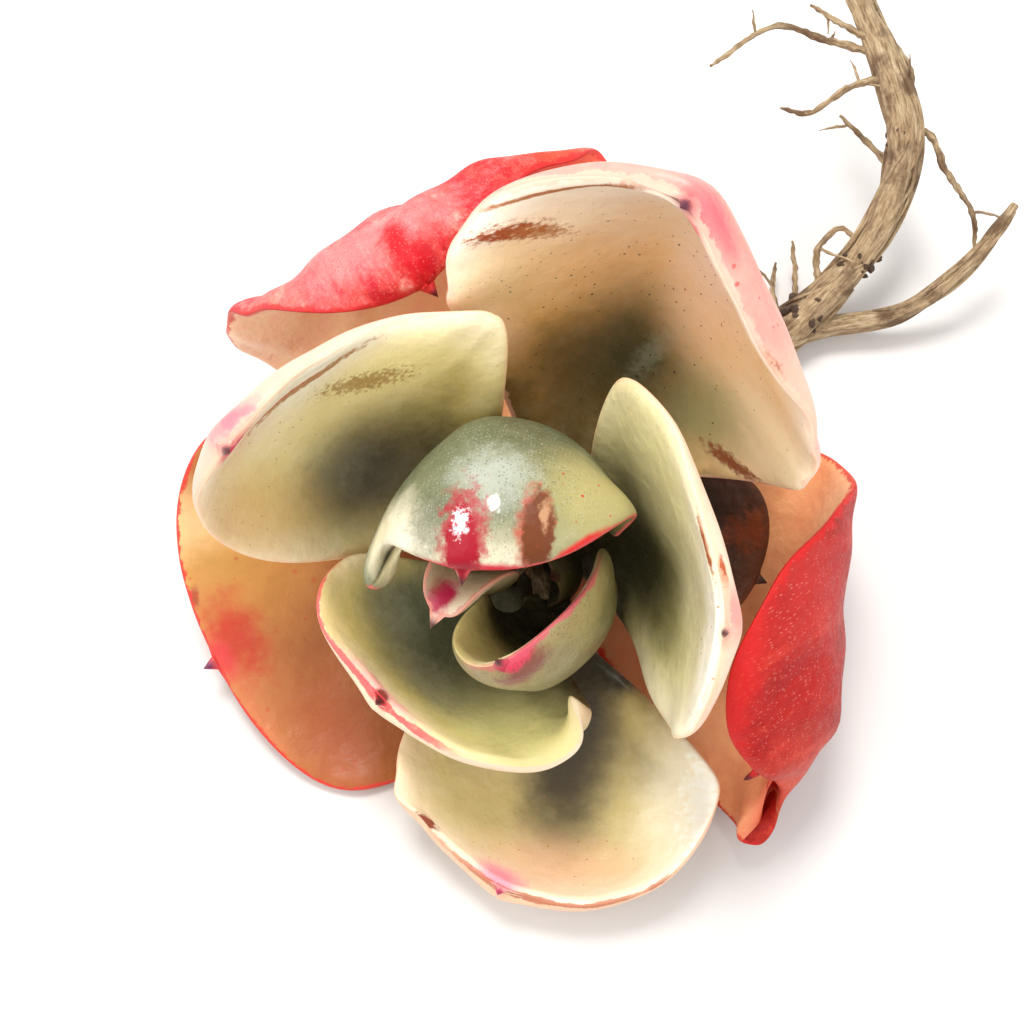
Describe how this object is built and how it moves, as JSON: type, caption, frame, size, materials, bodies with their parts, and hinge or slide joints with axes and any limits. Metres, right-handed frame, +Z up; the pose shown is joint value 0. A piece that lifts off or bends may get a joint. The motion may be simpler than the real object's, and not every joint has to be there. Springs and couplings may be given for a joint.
{
  "type": "bare-root potted angpang echeveria, lifted from its pot",
  "caption": "Rosette succulent with thick cupped pale leaves, red hooded outer leaves and a bare woody root, lying on its side leaves.",
  "frame": {"origin": "on the surface the plant lies on, under the middle of its bounding box", "axes": "+Z up, +Y the way the main root runs off, +X to the right as the rosette is looked down on with the root at the top"},
  "size_m": [0.0972, 0.117, 0.0585],
  "materials": {
    "leaf_pale": "waxy, soft gloss, slightly translucent leaf skin; rubber stands in for wet leaf flesh",
    "leaf_grey_green": "waxy with a pale bloom; rubber stands in for wet leaf flesh",
    "leaf_red": "waxy with fine pale speckles; rubber stands in for wet leaf flesh",
    "leaf_withered": "dry and papery",
    "bark": "dry fibrous root bark"
  },
  "bodies": {
    "root": {"bud_leaf_a": "leaf_grey_green", "bud_leaf_b": "leaf_grey_green", "leaf_01_heart_narrow": "leaf_pale", "leaf_02_heart_cupped": "leaf_grey_green", "leaf_03_heart_hooded": "leaf_grey_green", "leaf_04_inner_lower_left": "leaf_pale", "leaf_05_inner_right": "leaf_pale", "leaf_06_middle_left": "leaf_pale", "leaf_07_middle_upper_right": "leaf_pale", "leaf_08_outer_bottom": "leaf_pale", "leaf_09_outer_left": "leaf_pale", "leaf_10_outer_top_hooded": "leaf_red", "leaf_11_outer_right_hooded": "leaf_red", "leaf_12_withered": "leaf_withered", "stem_and_roots": "bark"}
  },
  "joints": []
}
